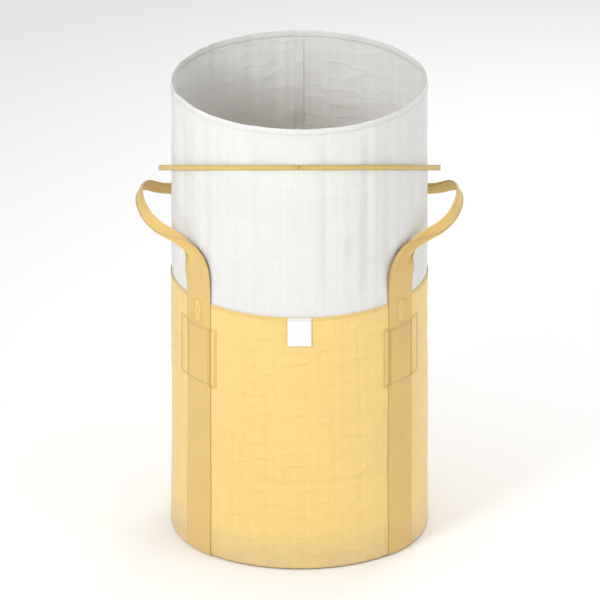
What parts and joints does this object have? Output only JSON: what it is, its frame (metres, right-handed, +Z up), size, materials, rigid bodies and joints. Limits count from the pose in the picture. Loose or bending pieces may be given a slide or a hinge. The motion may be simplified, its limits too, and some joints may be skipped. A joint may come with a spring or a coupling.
{
  "type": "bulk bag",
  "caption": "Round yellow bulk bag with a full-open white top skirt, a closing tie, sling belts crossing under the base, and lifting loops at both sides.",
  "frame": {"origin": "on the floor, under the centre of the round base", "axes": "+Z up along the bag's axis, -Y toward the front with the label, +X toward the right lifting loop"},
  "size_m": [1.4054, 1.1019, 2.05],
  "materials": {
    "body_cloth": "coated woven polypropylene cloth, pale yellow, flat-tape plain weave",
    "skirt_cloth": "light uncoated woven polypropylene cloth, white",
    "webbing": "woven polypropylene webbing, yellow, ribbed",
    "tack_cloth": "folded cloth patch, yellow, box-stitched",
    "label": "white film label, matt",
    "tie_tape": "flat woven tape, yellow"
  },
  "bodies": {
    "bag": {"body_wall": "body_cloth", "base_panel": "body_cloth", "base_seam_tape": "body_cloth", "body_back_seam": "body_cloth", "belt_patch_front_left": "body_cloth", "belt_patch_front_right": "body_cloth", "belt_patch_rear_left": "body_cloth", "belt_patch_rear_right": "body_cloth", "top_skirt": "skirt_cloth", "rim_seam_tape": "skirt_cloth", "skirt_back_seam": "skirt_cloth", "sling_belt_a": "webbing", "sling_belt_b": "webbing", "left_loop_front_neck": "webbing", "left_loop_rear_neck": "webbing", "right_loop_front_neck": "webbing", "right_loop_rear_neck": "webbing", "belt_tack_front_left": "tack_cloth", "belt_tack_front_right": "tack_cloth", "belt_tack_rear_left": "tack_cloth", "belt_tack_rear_right": "tack_cloth", "label_header": "label", "closing_tie_left": "tie_tape", "closing_tie_right": "tie_tape"},
    "left_lift_loop": {"left_loop": "webbing"},
    "right_lift_loop": {"right_loop": "webbing"},
    "mouth": {"mouth_hem": "skirt_cloth"},
    "label_flap": {"label": "label"}
  },
  "joints": [
    {"name": "left_loop_swing", "type": "hinge", "parent": "bag", "child": "left_lift_loop", "pos_m": [-0.47, 0, 1.385], "axis": [0, -1, 0], "range_deg": [-18, 88], "deforming": ["left_loop_front_neck", "left_loop_rear_neck"]},
    {"name": "right_loop_swing", "type": "hinge", "parent": "bag", "child": "right_lift_loop", "pos_m": [0.47, 0, 1.385], "axis": [0, 1, 0], "range_deg": [-18, 88], "deforming": ["right_loop_front_neck", "right_loop_rear_neck"]},
    {"name": "skirt_fold_down", "type": "slide", "parent": "bag", "child": "mouth", "axis": [0, 0, -1], "range_m": [0, 0.38], "deforming": ["top_skirt", "skirt_back_seam", "closing_tie_left", "closing_tie_right"]},
    {"name": "label_lift", "type": "hinge", "parent": "bag", "child": "label_flap", "pos_m": [0, -0.5514, 1.1607], "axis": [-1, 0, 0], "range_deg": [0, 150]}
  ]
}
